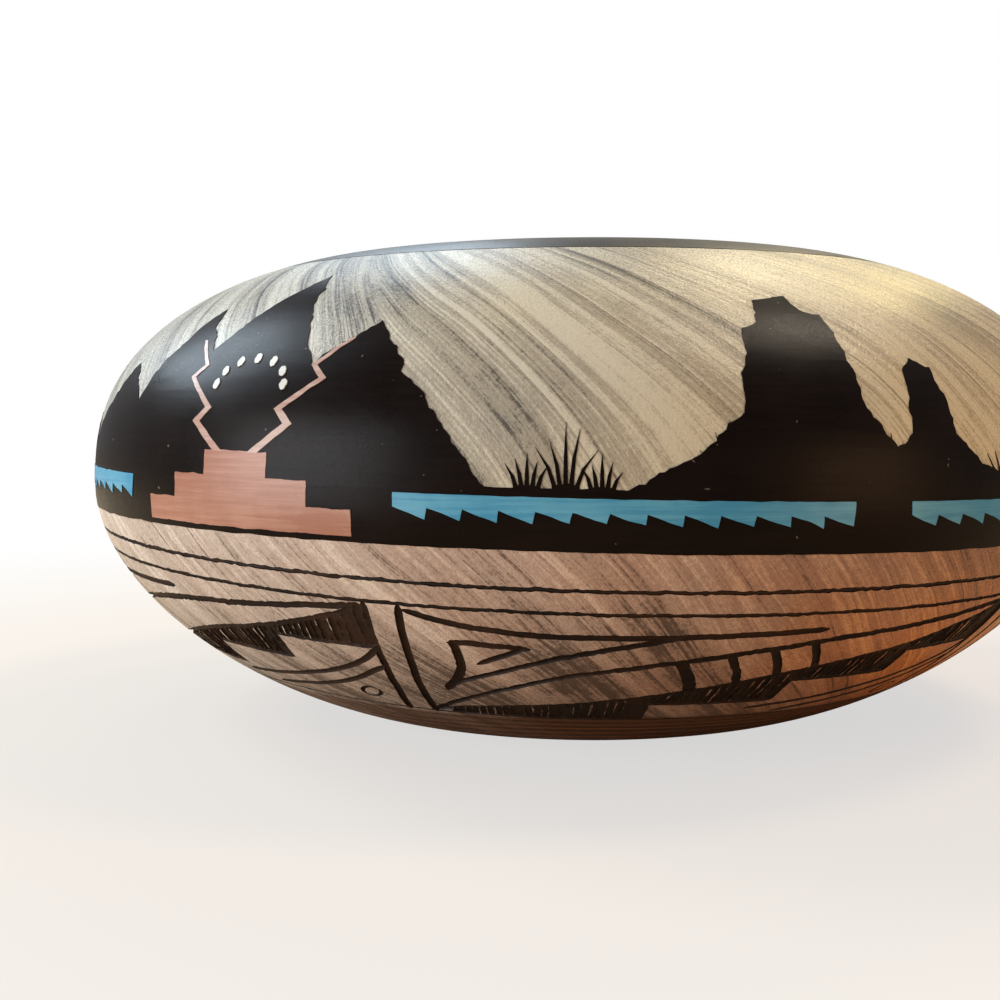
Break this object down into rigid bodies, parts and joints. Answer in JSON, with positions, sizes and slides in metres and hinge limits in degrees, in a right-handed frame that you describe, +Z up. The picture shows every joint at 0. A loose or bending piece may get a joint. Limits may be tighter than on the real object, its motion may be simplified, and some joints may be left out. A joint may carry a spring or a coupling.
{
  "type": "pottery pot",
  "caption": "Squat round hand-built clay pot with a closed-in shoulder, black lip, etched lower frieze and a painted skyline band around its widest line.",
  "frame": {"origin": "centre of the flat underside, where the pot stands", "axes": "+Z up along the pot's axis; -Y is the pictured front"},
  "size_m": [0.2127, 0.2128, 0.096],
  "materials": {
    "base_clay": "matte",
    "etched_clay": "satin",
    "brushed_clay": "satin",
    "lip_black": "satin",
    "black_paint": "satin",
    "turquoise_paint": "satin",
    "rose_paint": "satin"
  },
  "bodies": {
    "root": {"base_disc": "base_clay", "lower_wall": "etched_clay", "upper_wall": "brushed_clay", "mouth_ring": "lip_black", "ground_paint": "black_paint", "range_paint_1": "black_paint", "butte_paint_1": "black_paint", "turquoise_panel_1_1": "turquoise_paint", "turquoise_panel_1_2": "turquoise_paint", "rose_terrace_1": "rose_paint", "rose_bolt_1_left": "rose_paint", "rose_bolt_1_right": "rose_paint", "range_paint_2": "black_paint", "butte_paint_2": "black_paint", "turquoise_panel_2_1": "turquoise_paint", "turquoise_panel_2_2": "turquoise_paint", "rose_terrace_2": "rose_paint", "rose_bolt_2_left": "rose_paint", "rose_bolt_2_right": "rose_paint", "range_paint_3": "black_paint", "butte_paint_3": "black_paint", "turquoise_panel_3_1": "turquoise_paint", "turquoise_panel_3_2": "turquoise_paint", "rose_terrace_3": "rose_paint", "rose_bolt_3_left": "rose_paint", "rose_bolt_3_right": "rose_paint"}
  },
  "joints": []
}
